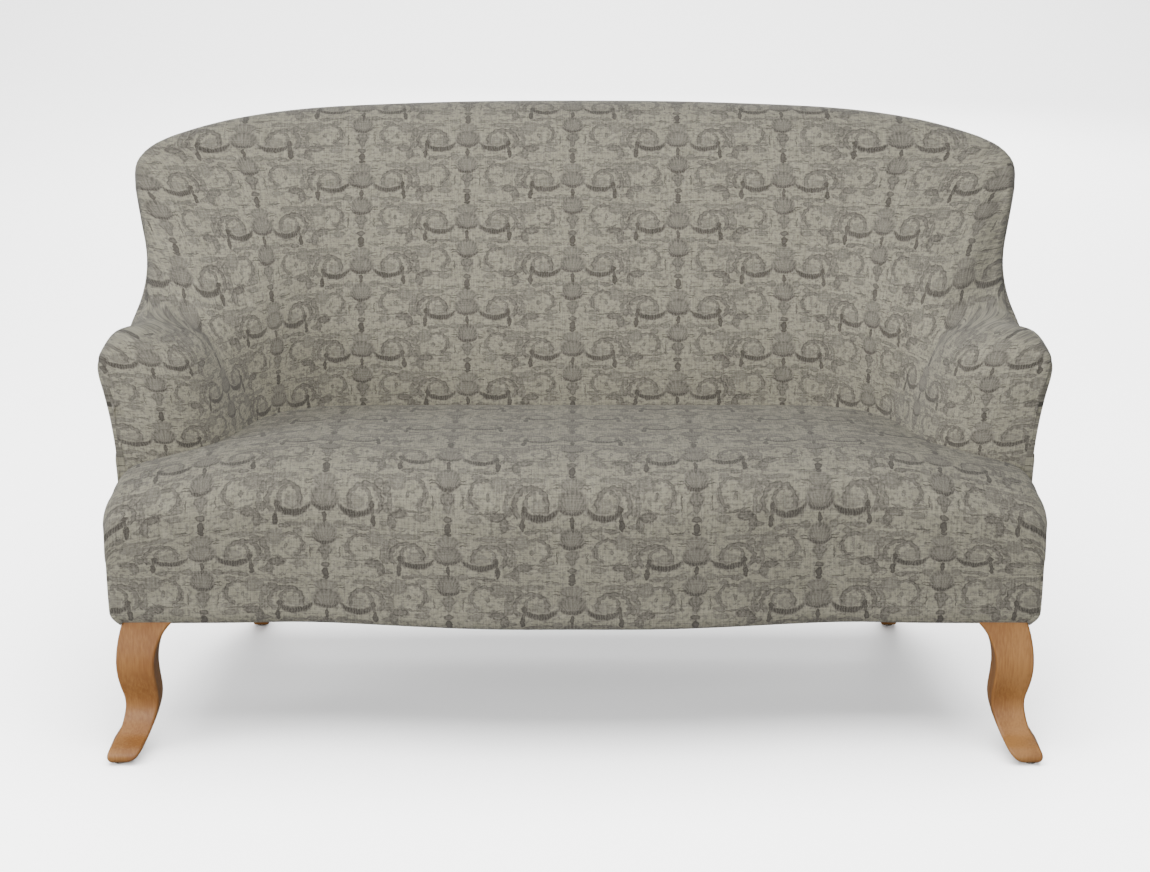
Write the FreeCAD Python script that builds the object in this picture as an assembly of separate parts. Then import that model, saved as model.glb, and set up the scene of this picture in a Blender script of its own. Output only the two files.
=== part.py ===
"""Two-seat sofa, tight upholstered, with a wrapped back and low arms, on four curved wooden legs.

Millimetres. +X is to the right of someone looking at the front, +Y runs to the back and +Z is up.
The origin is on the floor, under the middle of the whole sofa.
"""

import FreeCAD, Part
import os

V = FreeCAD.Vector
os.makedirs("parts", exist_ok=True)

# Driving sizes of the whole sofa
overall_width = 1500
overall_depth = 745
overall_height = 929
half_width = overall_width / 2
half_depth = overall_depth / 2

# Heights above the floor
glide_height = 4
cover_bottom = 214
frame_bottom = 217
rail_top = 325
tuck_height = 395
tack_rail_bottom = 352
arm_rail_bottom = 528
arm_rail_top = 560
crest_rail_bottom = 835
centre_rail_top = 300
block_height = 52

# Upholstery layers, from the outside in
cover_thickness = 2.5
layer_gap = 0.3
wadding_thickness = 6
back_padding = 52
arm_padding = 26
border_padding = 14
hessian_thickness = 1
webbing_thickness = 1.8
webbing_width = 50

# Timber
board_setback = 6
rail_thickness = 28
facing_thickness = 22
support_thickness = 22
wing_board_thickness = 18
tack_rail_thickness = 22
arm_rail_width = 46
post_width = 44
arm_board_thickness = 3

# Places of the timber, to the right of the middle and back from it
rear_seam = 560
arm_seam = 45
support_place = 462
wing_board_place = 585
post_place = 150
side_rail_end = 165
rear_block_place = 505
front_block_length = 130
centre_rail_width = 45

# Seat springs of one bent wire each
spring_count = 8
spring_spacing = 112
spring_bends = 12
spring_wire = 4
spring_half_width = 34
clip_thickness = 1.5
clip_width = 30
tie_wire = 3
tie_place = 95
tie_half_length = 430
corner_radius = 16

# Legs
leg_width = 75
front_leg_place = 663
front_leg_depth = -279
rear_leg_place = 558
rear_leg_depth = 236
leg_edge_radius = 4
glide_diameter = 16
glide_nail = 3
glide_nail_length = 12
front_bolt_shift = 12
leg_hole_share = 0.62
dust_setback = 5
dust_thickness = 0.8
bolt_diameter = 8
bolt_reach = 38

# Screws and dowels
screw_diameter = 5
screw_head_diameter = 9
screw_head_height = 3
screw_length = 75
dowel_diameter = 8
dowel_length = 40

# Cutting tools run past what they cut
overrun = 60
far = 3 * overall_width

# Layers counted from the face of the cover
lining = cover_thickness + layer_gap
back_lining = lining + back_padding
arm_lining = lining + arm_padding
frame_clearance = hessian_thickness + webbing_thickness + 4 * layer_gap


written = {}


def write(name, shape):
    """Keep one named sub-part."""
    written[name] = shape


def box(x0, x1, y0, y1, z0, z1):
    """A box between two corners."""
    return Part.makeBox(x1 - x0, y1 - y0, z1 - z0, V(x0, y0, z0))


def mirrored(shape):
    """The same shape on the other side of the sofa."""
    return shape.mirror(V(0, 0, 0), V(1, 0, 0))


def outward_normal(a, b):
    """The way out across a run from a to b, towards the sitter inside and away from the sofa on its wall."""
    if a.x == b.x:
        across = V(1, 0, 0)
    elif a.y == b.y:
        across = V(0, -1, 0)
    else:
        across = V(0, 0, -1)
    outward = across.cross(b - a)
    outward.normalize()
    return outward


def bowed(a, b, rise):
    """An arc from a to b, proud of its chord by rise."""
    return Part.Arc(a, (a + b) / 2 + outward_normal(a, b) * rise, b).toShape()


def grown(points, offset):
    """An open run of points moved outwards by offset, or inwards where it is negative."""
    last = len(points) - 1
    return [
        p + outward_normal(points[max(i - 1, 0)], points[min(i + 1, last)]) * offset
        for i, p in enumerate(points)
    ]


def loft(wires):
    """A smooth solid through closed sections."""
    return Part.makeLoft(wires, True, False)


def largest(shape):
    """The biggest solid of a cut, without crumbs."""
    return max(shape.Solids, key=lambda solid: solid.Volume)


# Outer wall of the sofa: plan outlines at rising heights, as shares of the half width and half depth
# height, side at the front, side at the wing and its place, rear corner and its place, middle of the back
wall_shares = [
    (0.2260, 0.955, 0.886, 0.443, 0.720, 0.773, 0.800),
    (0.3230, 0.957, 0.889, 0.443, 0.723, 0.790, 0.820),
    (0.4260, 0.961, 0.896, 0.443, 0.727, 0.805, 0.842),
    (0.5330, 0.977, 0.912, 0.430, 0.742, 0.822, 0.868),
    (0.6340, 1.000, 0.930, 0.403, 0.760, 0.838, 0.895),
    (0.7500, 1.000, 0.942, 0.349, 0.787, 0.853, 0.940),
    (0.9000, 1.000, 0.979, 0.500, 0.813, 0.886, 1.000),
    (1.0500, 1.000, 0.981, 0.523, 0.816, 0.889, 1.000),
]
arm_front_share = -0.424
arm_front = arm_front_share * half_depth
corner_bow = 26


def wall_outline(row, inset):
    """One closed plan outline of the outer wall, from the far front round the back."""
    height_share, front_share, wing_share, wing_place, corner_share, corner_place, back_share = row
    z = height_share * overall_height
    front = V(front_share * half_width - inset, -half_depth - overrun, z)
    side = V(front_share * half_width - inset, arm_front, z)
    wing = V(wing_share * half_width - inset, wing_place * half_depth, z)
    corner = V(corner_share * half_width - inset / 2, corner_place * half_depth - inset, z)
    middle = V(0, back_share * half_depth - inset, z)
    other = [V(-p.x, p.y, z) for p in (corner, wing, side, front)]
    edges = [
        Part.makeLine(front, side),
        Part.makeLine(side, wing),
        bowed(wing, corner, corner_bow),
        Part.Arc(corner, middle, other[0]).toShape(),
        bowed(other[0], other[1], corner_bow),
        Part.makeLine(other[1], other[2]),
        Part.makeLine(other[2], other[3]),
        Part.makeLine(other[3], front),
    ]
    return Part.Wire(edges)


def wall(inset):
    """All that lies inside the outer wall, drawn in by inset."""
    return loft([wall_outline(row, inset) for row in wall_shares])


# Inside of the back: upright sections across the sofa, as shares of half width, half depth and height
# place, tuck, waist, shoulder, crest and back points, then the four bows as shares of the height
back_shares = [
    (0.000, 0.333, (0.344, 0.658), (0.561, 0.910), (0.821, 1.000), (1.034, 0.936),
     0.0097, 0.0086, 0.0194, 0.0215),
    (0.480, 0.325, (0.336, 0.658), (0.553, 0.910), (0.813, 0.997), (1.026, 0.934),
     0.0097, 0.0086, 0.0194, 0.0215),
    (0.720, 0.110, (0.060, 0.689), (0.497, 0.915), (0.738, 0.977), (1.034, 0.905),
     0.0043, 0.0215, 0.0129, 0.0151),
    (0.867, 0.000, (0.010, 0.664), (0.403, 0.867), (0.612, 0.951), (0.886, 0.905),
     0.0043, -0.0054, 0.0108, 0.0108),
    (0.947, -0.107, (0.080, 0.674), (0.443, 0.834), (0.545, 0.922), (0.805, 0.905),
     0.0043, -0.0194, 0.0032, 0.0043),
    (1.027, -0.160, (0.161, 0.689), (0.470, 0.790), (0.530, 0.830), (0.805, 0.820),
     0.0043, -0.0129, 0.0022, 0.0043),
]


def back_section(row, side, offset):
    """One closed upright section of the back, in a plane across X."""
    place, tuck, waist, shoulder, crest, rear = row[:6]
    bows = [share * overall_height for share in row[6:]]
    x = side * place * half_width

    def at(y_share, z_share):
        return V(x, y_share * half_depth, z_share * overall_height)

    points = [V(x, tuck * half_depth, tuck_height), at(*waist), at(*shoulder), at(*crest), at(*rear)]
    points = grown(points, offset)
    foot_rear = V(x, points[4].y, cover_bottom - overrun)
    foot_front = V(x, points[0].y, cover_bottom - overrun)
    edges = [
        Part.makeLine(foot_front, points[0]),
        *[bowed(points[i], points[i + 1], bow) for i, bow in enumerate(bows)],
        Part.makeLine(points[4], foot_rear),
        Part.makeLine(foot_rear, foot_front),
    ]
    return Part.Wire(edges)


def back_form(offset):
    """The back and wings as one solid, grown or drawn in by offset."""
    left = [back_section(row, -1, offset) for row in reversed(back_shares[1:])]
    right = [back_section(row, 1, offset) for row in back_shares]
    return loft(left + right)


# Arm: upright sections from front to back, as shares of half width, half depth and height
# place, inner foot, shoulder, crest and outer edge
arm_shares = [
    (arm_front_share, 0.869, (0.873, 0.592), (0.940, 0.622), (1.004, 0.603)),
    (-0.403, 0.837, (0.843, 0.618), (0.941, 0.646), (1.004, 0.620)),
    (-0.354, 0.795, (0.809, 0.634), (0.944, 0.664), (1.004, 0.631)),
    (-0.255, 0.745, (0.800, 0.646), (0.945, 0.673), (1.004, 0.634)),
    (-0.080, 0.707, (0.793, 0.652), (0.944, 0.676), (1.003, 0.634)),
    (0.190, 0.664, (0.757, 0.661), (0.936, 0.682), (1.000, 0.636)),
    (0.590, 0.600, (0.707, 0.689), (0.930, 0.700), (1.000, 0.640)),
]
arm_bow = 10
roll_bow = 9


def arm_section(row, offset):
    """One closed upright section of the right arm, in a plane across Y."""
    place, foot, shoulder, crest, edge = row
    y = place * half_depth

    def at(x_share, z_share):
        return V(x_share * half_width, y, z_share * overall_height)

    base = V(foot * half_width, y, tuck_height)
    points = grown([base, at(*shoulder), at(*crest), at(*edge)], offset)
    beyond = V(half_width + overrun, y, points[3].z - overrun)
    foot_out = V(half_width + overrun, y, cover_bottom - overrun)
    foot_in = V(points[0].x, y, cover_bottom - overrun)
    edges = [
        Part.makeLine(foot_in, points[0]),
        bowed(points[0], points[1], arm_bow),
        bowed(points[1], points[2], arm_bow),
        bowed(points[2], points[3], roll_bow),
        Part.makeLine(points[3], beyond),
        Part.makeLine(beyond, foot_out),
        Part.makeLine(foot_out, foot_in),
    ]
    return Part.Wire(edges)


def arm_form(offset):
    """The right arm as one solid, grown or drawn in by offset."""
    sections = []
    for row in arm_shares:
        section = arm_section(row, offset)
        if row is arm_shares[0]:
            section.translate(V(0, -offset, 0))
        sections.append(section)
    return loft(sections)


def inside_form(offset, arm_offset):
    """Back, wings and both arms as one solid."""
    arm = arm_form(arm_offset)
    return back_form(offset).fuse([arm, mirrored(arm)])


# Seat block: upright sections across the sofa, as shares of half width, half depth and height
# place, front, nose height, end of the front roll, middle of the top, back edge height
seat_shares = [
    (0.000, -0.940, 0.430, (-0.741, 0.493), (-0.403, 0.5005), 0.480),
    (0.240, -0.927, 0.430, (-0.730, 0.493), (-0.400, 0.5005), 0.480),
    (0.427, -0.872, 0.430, (-0.685, 0.492), (-0.392, 0.499), 0.480),
    (0.569, -0.844, 0.428, (-0.660, 0.490), (-0.380, 0.497), 0.479),
    (0.747, -0.859, 0.420, (-0.671, 0.482), (-0.376, 0.489), 0.474),
    (0.867, -0.864, 0.400, (-0.703, 0.463), (-0.376, 0.472), 0.460),
    (0.957, -0.864, 0.366, (-0.765, 0.422), (-0.376, 0.432), 0.420),
    (1.020, -0.864, 0.330, (-0.792, 0.388), (-0.376, 0.396), 0.390),
]
seat_back_share = 0.338
seat_roll_bow = 16


def seat_section(row, side, offset):
    """One closed upright section of the seat, in a plane across X, run on past its back and its foot."""
    place, front, nose, roll, top, back = row
    x = side * place * half_width

    def at(y_share, z_share):
        return V(x, y_share * half_depth, z_share * overall_height)

    foot = V(x, front * half_depth, cover_bottom)
    points = grown([foot, at(front, nose), at(*roll), at(*top), at(seat_back_share, back)], offset)
    foot_front = V(x, points[0].y, cover_bottom - overall_depth)
    back_top = points[4] + V(0, overall_depth, 0)
    foot_back = V(x, back_top.y, foot_front.z)
    edges = [
        Part.makeLine(foot_front, points[1]),
        bowed(points[1], points[2], seat_roll_bow),
        Part.Arc(points[2], points[3], points[4]).toShape(),
        Part.makeLine(points[4], back_top),
        Part.makeLine(back_top, foot_back),
        Part.makeLine(foot_back, foot_front),
    ]
    return Part.Wire(edges)


def seat_form(offset):
    """The seat block as one solid, grown or drawn in by offset."""
    left = [seat_section(row, -1, offset) for row in reversed(seat_shares[1:])]
    right = [seat_section(row, 1, offset) for row in seat_shares]
    return loft(left + right)


def above(z):
    """All space above a height."""
    return box(-far, far, -far, far, z, far)


def layer(z0, z1):
    """All space between two heights."""
    return box(-far, far, -far, far, z0, z1)


# Forms that many pieces share
wall_face = wall(0)
wall_lining = wall(lining)
wall_boards = wall(board_setback)
inside_face = inside_form(0, 0)
inside_lining = inside_form(-lining, -lining)
inside_padding = inside_form(-back_lining, -arm_lining)
inside_frame = inside_form(-back_lining - frame_clearance, -arm_lining - frame_clearance)
inside_clear = inside_form(layer_gap, layer_gap)
seat_space = box(-far, far, -far, seat_back_share * half_depth, cover_bottom, far)
seat_face = seat_form(0).common(seat_space)
seat_lining = seat_form(-lining)
seat_rail_face = seat_form(-lining - border_padding)
seat_rail_back = seat_form(-lining - border_padding - rail_thickness)
frame_space = inside_frame.common(wall_boards)
frame_band = wall_boards.cut(wall(board_setback + rail_thickness))


# Rounding of the two bottom corners of the front border
corner_side = wall_shares[0][1] * half_width
corner_cut = box(corner_side - corner_radius, far, -far, arm_front, 0, cover_bottom + corner_radius)
corner_middle = V(corner_side - corner_radius, arm_front - far, cover_bottom + corner_radius)
corner_round = Part.makeCylinder(corner_radius, far, corner_middle, V(0, 1, 0))
corner_cut = corner_cut.cut(corner_round)


# Outside covers, sewn to the inside cover along the arm, wing and crest
def outside_covers():
    """The panel across the back and the panel that runs from the rear corner to the front of the seat."""
    shell = wall_face.cut(wall(cover_thickness))
    body = shell.common(inside_face).common(above(cover_bottom))
    ear = shell.common(seat_face).common(box(0, far, -far, arm_front + cover_thickness, cover_bottom, far))
    rear = body.common(box(-rear_seam, rear_seam, 0, far, 0, far))
    side = body.common(box(rear_seam, far, -far, far, 0, far))
    side = side.fuse(ear).cut(corner_cut).removeSplitter()
    return largest(rear), largest(side)


outside_back, outside_arm = outside_covers()
write("outside_back_cover", outside_back)
write("outside_arm_cover_right", outside_arm)
write("outside_arm_cover_left", mirrored(outside_arm))


# Inside cover, one skin over the back, wings and arms
inside_cover = inside_face.cut(inside_form(-cover_thickness, -cover_thickness))
inside_cover = inside_cover.common(wall_lining).common(above(tuck_height))
write("inside_cover", largest(inside_cover))

# Seat cover over the top and the front border
seat_cover = seat_face.common(wall_lining).cut(seat_form(-cover_thickness)).cut(inside_clear)
write("seat_cover", largest(seat_cover.cut(corner_cut).cut(mirrored(corner_cut))))


def boards_between(x0, x1, y0, y1, z0, z1):
    """What a box takes of the timber band that follows the outer wall."""
    return frame_band.common(box(x0, x1, y0, y1, z0, z1))


# Seat rails, bowed in front and following the wall at the sides and back
front_rail = seat_rail_face.cut(seat_rail_back).common(wall_boards).common(layer(frame_bottom, rail_top))
front_rail = largest(front_rail.common(box(-far, far, -far, arm_front - rail_thickness, 0, far)))
back_rail = largest(boards_between(-rear_block_place, rear_block_place, 0, far, frame_bottom, rail_top))
side_rail = boards_between(rear_block_place, far, -far, side_rail_end, frame_bottom, rail_top)
side_rail = largest(side_rail.common(seat_rail_back))
centre_half = centre_rail_width / 2
centre_rail = box(-centre_half, centre_half, -half_depth, half_depth, frame_bottom, centre_rail_top)
centre_rail = largest(centre_rail.common(seat_rail_back).cut(frame_band).common(wall_boards))

# Corner blocks that take the legs
front_block = box(half_width / 2, far, -far, far, frame_bottom, frame_bottom + block_height)
front_block = front_block.common(seat_rail_back).common(wall_boards).cut(frame_band)
front_block_back = front_leg_depth + front_block_length / 2
block_inside = front_leg_place - leg_width / 2
front_block = largest(front_block.common(box(block_inside, far, -far, front_block_back, 0, far)))
rear_block = wall_boards.common(box(rear_block_place, far, side_rail_end, far, frame_bottom, rail_top))
rear_block = largest(rear_block)

# Arm facings, arm rails and the posts behind them
facing_front = arm_front + arm_lining + frame_clearance
facing_back = facing_front + facing_thickness
facing = frame_space.common(box(0, far, facing_front, facing_back, frame_bottom, far))
facing = largest(facing.cut(side_rail).cut(front_block))
post_back = post_place + post_width
arm_rail = frame_space.common(box(0, far, facing_back, post_back, arm_rail_bottom, arm_rail_top))
arm_rail = largest(arm_rail.cut(wall(board_setback + arm_rail_width)))
rear_post = boards_between(rear_seam, far, post_place, post_back, rail_top, arm_rail_bottom)
rear_post = largest(rear_post.common(frame_space))

# Wings, crest and the shaped uprights of the back
wing_band = wall_boards.cut(wall(board_setback + wing_board_thickness))
wing_board = wing_band.common(frame_space).common(box(wing_board_place, far, -far, far, arm_rail_top, far))
wing_board = largest(wing_board.cut(facing))
crest_rail = frame_space.common(box(-wing_board_place, wing_board_place, 0, far, crest_rail_bottom, far))
crest_rail = largest(crest_rail)
tack_front = back_shares[0][1] * half_depth + back_lining + frame_clearance
tack_back = tack_front + tack_rail_thickness
arm_run = (arm_shares[5][0] - arm_shares[4][0]) * half_depth
arm_slope = (arm_shares[5][1] - arm_shares[4][1]) * half_width / arm_run
tack_inset = arm_lining + frame_clearance


def arm_inside(y):
    """How far from the middle the timber of the arm starts, at tack rail height."""
    return arm_shares[4][1] * half_width + (y - arm_shares[4][0] * half_depth) * arm_slope + tack_inset


def tack_corner(y, across):
    """A corner of the arm's tack rail."""
    return V(arm_inside(y) + across, y, tack_rail_bottom)


arm_tack_rail = Part.Face(Part.makePolygon([
    tack_corner(facing_back, 0),
    tack_corner(facing_back, tack_rail_thickness),
    tack_corner(tack_back, tack_rail_thickness),
    tack_corner(tack_back, 0),
    tack_corner(facing_back, 0),
])).extrude(V(0, 0, tuck_height - tack_rail_bottom))
arm_tack_rail = largest(arm_tack_rail)
tack_half = arm_inside(tack_back)
back_tack_rail = box(-tack_half, tack_half, tack_front, tack_back, tack_rail_bottom, tuck_height)
back_tack_rail = largest(back_tack_rail.cut(arm_tack_rail).cut(mirrored(arm_tack_rail)))


def back_support(x):
    """A shaped upright from the back rail to the crest rail, at x."""
    half = support_thickness / 2
    board = frame_space.common(box(x - half, x + half, tack_back, far, rail_top, crest_rail_bottom))
    top = frame_space.common(box(x - half, x + half, 0, tack_back, tuck_height, crest_rail_bottom))
    return largest(board.fuse(top).removeSplitter())


supports = {
    "back_support_left": -support_place,
    "back_support_centre": 0,
    "back_support_right": support_place,
}

# Hardboard that closes the inside of each arm
back_inset = back_lining + frame_clearance
board_back = inside_form(-back_inset - arm_board_thickness, -tack_inset - arm_board_thickness)
arm_board = frame_space.cut(board_back)
arm_board = arm_board.common(box(0, far, facing_back, arm_seam, tuck_height, arm_rail_bottom))
arm_board = largest(arm_board)

# Seat springs: one bent wire each from the front rail to the back rail, held in folded clips
spring_height = rail_top + clip_thickness + layer_gap + spring_wire / 2
spring_top = spring_height + spring_wire / 2
deck_bottom = spring_top + clip_thickness + 2 * layer_gap
deck_top = deck_bottom + hessian_thickness
foam_bottom = deck_top + layer_gap
spring_back = wall_shares[1][6] * half_depth - board_setback - rail_thickness / 2


def share_at(place, column):
    """A column of the seat's sections, read at any place across the sofa."""
    for low, high in zip(seat_shares, seat_shares[1:]):
        if place <= high[0]:
            part = (place - low[0]) / (high[0] - low[0])
            return low[column] + part * (high[column] - low[column])
    return seat_shares[-1][column]


def spring_front(x):
    """The middle of the bowed front rail, at x."""
    front = share_at(abs(x) / half_width, 1) * half_depth
    return front + lining + border_padding + rail_thickness / 2


def seat_spring(x):
    """One wire, straight across at each end, that turns back on itself at each bend."""
    y = spring_front(x)
    pitch = (spring_back - y) / spring_bends
    turn = pitch / 2
    half = spring_half_width - turn
    edges = []
    side = 1
    start = V(x - half, y, spring_height)
    for bend in range(spring_bends):
        end = V(x + side * half, y, spring_height)
        centre = end + V(0, turn, 0)
        quarter = centre + V(side * turn, 0, 0)
        edges.append(Part.makeLine(start, end))
        start = end + V(0, pitch, 0)
        edges.append(Part.Arc(end, centre + V(side, -1, 0).normalize() * turn, quarter).toShape())
        edges.append(Part.Arc(quarter, centre + V(side, 1, 0).normalize() * turn, start).toShape())
        y += pitch
        side = -side
    edges.append(Part.makeLine(start, V(x + side * half, y, spring_height)))
    path = Part.Wire(edges)
    ring = Part.Wire(Part.makeCircle(spring_wire / 2, path.Edges[0].Vertexes[0].Point, V(1, 0, 0)))
    return path.makePipeShell([ring], True, False)


def spring_clip(x, y, side):
    """A folded clip round the end run of a spring, open to the side of the seat."""
    half = clip_width / 2
    room = spring_wire / 2 + layer_gap
    back = room + clip_thickness
    outline = Part.makePolygon([
        V(x - half, y - side * room, spring_height - back),
        V(x - half, y + side * back, spring_height - back),
        V(x - half, y + side * back, spring_height + back),
        V(x - half, y - side * room, spring_height + back),
        V(x - half, y - side * room, spring_height + room),
        V(x - half, y + side * room, spring_height + room),
        V(x - half, y + side * room, spring_height - room),
        V(x - half, y - side * room, spring_height - room),
        V(x - half, y - side * room, spring_height - back),
    ])
    return Part.Face(outline).extrude(V(clip_width, 0, 0))


spring_places = [(i - (spring_count - 1) / 2) * spring_spacing for i in range(spring_count)]
springs = Part.makeCompound([seat_spring(x) for x in spring_places])
clips = [spring_clip(x, spring_front(x), -1) for x in spring_places]
clips += [spring_clip(x, spring_back, 1) for x in spring_places]
clips = Part.makeCompound(clips)
tie_height = spring_height - spring_wire / 2 - layer_gap - tie_wire / 2
ties = [
    Part.makeCylinder(tie_wire / 2, 2 * tie_half_length, V(-tie_half_length, y, tie_height), V(1, 0, 0))
    for y in (-tie_place, tie_place)
]
ties = Part.makeCompound(ties)
write("seat_springs", springs)
write("spring_clips", clips)
write("spring_tie_wires", ties)


write("front_rail", front_rail)
write("back_rail", back_rail)
write("centre_rail", centre_rail)
write("side_rail_right", side_rail)
write("front_block_right", front_block)
write("rear_block_right", rear_block)
write("arm_facing_right", facing)
write("arm_rail_right", arm_rail)
write("arm_post_right", rear_post)
write("wing_board_right", wing_board)
write("arm_tack_rail_right", arm_tack_rail)
write("arm_board_right", arm_board)
write("crest_rail", crest_rail)
write("back_tack_rail", back_tack_rail)
for name, place in supports.items():
    write(name, back_support(place))

# Padding, cut into a pad for the back and wings and one for each arm
padding = inside_lining.common(wall_lining).cut(inside_padding).common(above(tuck_height))
arm_foam = largest(padding.common(box(0, far, -far, arm_seam, 0, far)).cut(wing_board))
back_foam = largest(padding.common(box(-far, far, arm_seam, far, 0, far)))
write("arm_foam_right", arm_foam)
write("back_foam", back_foam)

# Hessian and webbing behind the back foam
hessian_face = back_lining + layer_gap
back_hessian = back_form(-hessian_face).cut(back_form(-hessian_face - hessian_thickness))
hessian_space = box(-support_place, support_place, 0, far, tuck_height, crest_rail_bottom)
back_hessian = back_hessian.common(hessian_space)
write("back_hessian", largest(back_hessian.common(wall_boards)))
strap_face = hessian_face + hessian_thickness + layer_gap
straps = back_form(-strap_face).cut(back_form(-strap_face - webbing_thickness)).common(wall_boards)
straps = straps.common(box(-support_place, support_place, 0, far, tack_rail_bottom, crest_rail_bottom))
straps = straps.cut(back_tack_rail)
strap_places = [support_place * share for share in (-2 / 3, -1 / 3, 1 / 3, 2 / 3)]
straps = [
    largest(straps.common(box(x - webbing_width / 2, x + webbing_width / 2, 0, far, 0, far)))
    for x in strap_places
]
write("back_webbing", Part.makeCompound(straps))

# Seat deck and padding
deck_plan = seat_rail_face.common(wall(lining + border_padding)).cut(inside_clear)
seat_hessian = deck_plan.common(layer(deck_bottom, deck_top))
write("seat_hessian", largest(seat_hessian))
pad = seat_form(-lining - wadding_thickness).common(wall(lining + wadding_thickness)).cut(inside_clear)
write("seat_foam", largest(pad.common(seat_space).common(above(foam_bottom))))
wadding = seat_lining.common(wall_lining).cut(seat_form(-lining - wadding_thickness + layer_gap))
wadding = wadding.cut(inside_clear).common(seat_space).common(above(foam_bottom))
write("seat_wadding", largest(wadding))
felt = seat_lining.cut(seat_rail_face).common(wall_lining).common(layer(frame_bottom, deck_bottom))
felt = felt.common(box(-far, far, -far, arm_front, 0, far)).cut(corner_cut).cut(mirrored(corner_cut))
write("front_border_felt", largest(felt))

# Legs: each the shape that is common to its front and side outlines
# across and up, as shares of the leg width and height, outside then inside, from the top down
front_leg_front_shares = (
    [(0.48, 1.0), (0.58, 0.869), (0.632, 0.662), (0.573, 0.493), (0.509, 0.357),
     (0.54, 0.263), (0.66, 0.145), (0.79, 0.075), (0.80, 0.035), (0.72, 0.0)],
    [(-0.573, 1.0), (-0.293, 0.869), (-0.153, 0.685), (-0.173, 0.521), (-0.183, 0.366),
     (-0.093, 0.225), (0.067, 0.103), (0.29, 0.02), (0.44, 0.0)],
)
front_leg_side_shares = (
    [(-0.493, 1.0), (-0.56, 0.869), (-0.64, 0.662), (-0.533, 0.493), (-0.427, 0.357),
     (-0.493, 0.263), (-0.79, 0.145), (-1.20, 0.085), (-1.245, 0.04), (-1.16, 0.0)],
    [(0.52, 1.0), (0.28, 0.869), (0.147, 0.685), (0.16, 0.521), (0.253, 0.366),
     (0.12, 0.225), (-0.28, 0.103), (-0.66, 0.02), (-0.83, 0.0)],
)
rear_leg_front_shares = (
    [(0.42, 1.0), (0.38, 0.7), (0.28, 0.35), (0.21, 0.06), (0.15, 0.0)],
    [(-0.42, 1.0), (-0.38, 0.7), (-0.28, 0.35), (-0.25, 0.06), (-0.19, 0.0)],
)
rear_leg_side_shares = (
    [(-0.42, 1.0), (-0.33, 0.7), (-0.1, 0.35), (0.19, 0.06), (0.25, 0.0)],
    [(0.42, 1.0), (0.36, 0.7), (0.41, 0.35), (0.62, 0.06), (0.58, 0.0)],
)
leg_height = frame_bottom - glide_height


def leg_profile(outline, place, across, out):
    """One outline of a leg, drawn at its place and run out along the other way."""
    outer, inner = outline

    def at(shares):
        return place + across * (shares[0] * leg_width) + V(0, 0, glide_height + shares[1] * leg_height)

    first = Part.BSplineCurve()
    first.interpolate([at(p) for p in outer])
    second = Part.BSplineCurve()
    second.interpolate([at(p) for p in inner])
    edges = [
        first.toShape(),
        Part.makeLine(at(outer[-1]), at(inner[-1])),
        second.toShape(),
        Part.makeLine(at(inner[0]), at(outer[0])),
    ]
    face = Part.Face(Part.Wire(Part.__sortEdges__(edges)))
    face.translate(out * -overall_depth)
    return face.extrude(out * 2 * overall_depth)


def leg(front_outline, side_outline, x, y):
    """A leg with its long edges eased, from two outlines sawn across each other."""
    front_cut = leg_profile(front_outline, V(x, 0, 0), V(1, 0, 0), V(0, 1, 0))
    side_cut = leg_profile(side_outline, V(0, y, 0), V(0, 1, 0), V(1, 0, 0))
    blank = largest(front_cut.common(side_cut))
    long_edges = [edge for edge in blank.Edges if edge.Length > leg_height / 2]
    return blank.makeFillet(leg_edge_radius, long_edges)


front_leg = leg(front_leg_front_shares, front_leg_side_shares, front_leg_place, front_leg_depth)
rear_leg = leg(rear_leg_front_shares, rear_leg_side_shares, rear_leg_place, rear_leg_depth)


def glide(x, y):
    """A nail-on glide under a toe."""
    disc = Part.makeCylinder(glide_diameter / 2, glide_height, V(x, y, 0))
    nail = Part.makeCylinder(glide_nail / 2, glide_nail_length, V(x, y, glide_height))
    return disc.fuse(nail).removeSplitter()


def toe(front_outline, side_outline, x, y):
    """The middle of a leg's flat foot."""
    across = (front_outline[0][-1][0] + front_outline[1][-1][0]) / 2
    along = (side_outline[0][-1][0] + side_outline[1][-1][0]) / 2
    return x + across * leg_width, y + along * leg_width


front_toe = toe(front_leg_front_shares, front_leg_side_shares, front_leg_place, front_leg_depth)
rear_toe = toe(rear_leg_front_shares, rear_leg_side_shares, rear_leg_place, rear_leg_depth)
glides = [glide(side * x, y) for x, y in (front_toe, rear_toe) for side in (1, -1)]
bolt_places = [(front_leg_place, front_leg_depth - front_bolt_shift), (rear_leg_place, rear_leg_depth)]
bolts = [
    Part.makeCylinder(bolt_diameter / 2, 2 * bolt_reach, V(side * x, y, frame_bottom - bolt_reach))
    for x, y in bolt_places for side in (1, -1)
]


def screw(start, way):
    """A countersunk screw, its head flush with start."""
    shank = Part.makeCylinder(screw_diameter / 2, screw_length, start, way)
    head = Part.makeCone(screw_head_diameter / 2, screw_diameter / 2, screw_head_height, start, way)
    return shank.fuse(head).removeSplitter()


# Screws through the front blocks into the side rails
block_front = spring_front(front_leg_place) + rail_thickness / 2
screws = []
for share in (1 / 2, 5 / 6):
    y = block_front + share * (front_block_back - block_front)
    one = screw(V(block_inside, y, frame_bottom + block_height / 2), V(1, 0, 0))
    screws += [one, mirrored(one)]

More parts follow.
